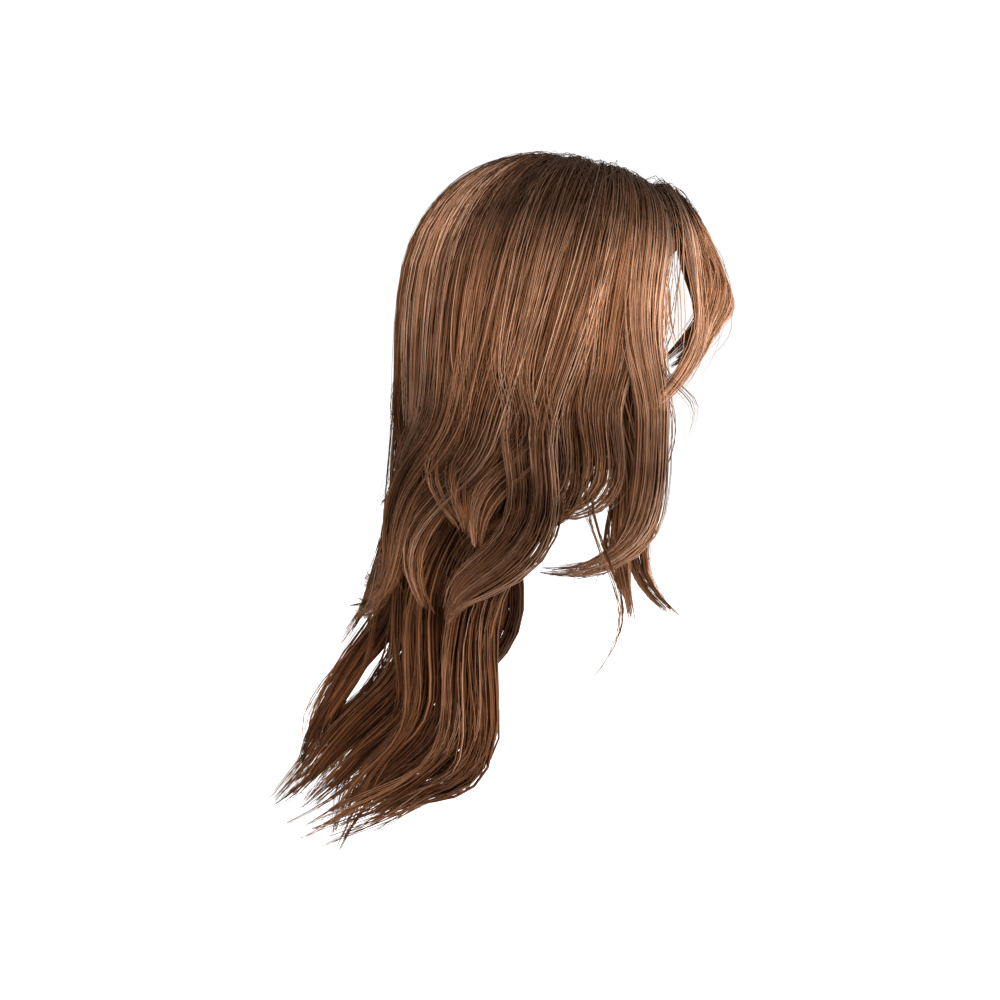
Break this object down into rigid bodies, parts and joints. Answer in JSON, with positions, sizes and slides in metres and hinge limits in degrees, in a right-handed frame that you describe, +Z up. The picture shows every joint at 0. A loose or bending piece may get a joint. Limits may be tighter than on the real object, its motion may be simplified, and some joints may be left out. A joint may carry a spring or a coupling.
{
  "type": "wig",
  "caption": "Long layered wavy chestnut wig with a centre parting and curtain fringe, swept back on the right, on a thin open cap.",
  "frame": {"origin": "crown of the head, on the inner face of the cap where it seats", "axes": "+Z up, -Y the way the face looks, -X the wearer's right"},
  "size_m": [0.2034, 0.3302, 0.491],
  "materials": {
    "cap_net": "dark brown stretch net, matt",
    "hair_under": "dark chestnut synthetic fibre, soft sheen",
    "hair_crown": "chestnut synthetic fibre, soft sheen",
    "hair_side": "chestnut synthetic fibre with lighter strands, soft sheen",
    "hair_fringe": "light chestnut synthetic fibre, soft sheen"
  },
  "bodies": {
    "root": {"cap": "cap_net", "nape_lengths": "hair_under", "crown_back": "hair_crown", "side_right": "hair_side", "side_left": "hair_side", "fringe_right": "hair_fringe", "fringe_left": "hair_fringe"}
  },
  "joints": []
}
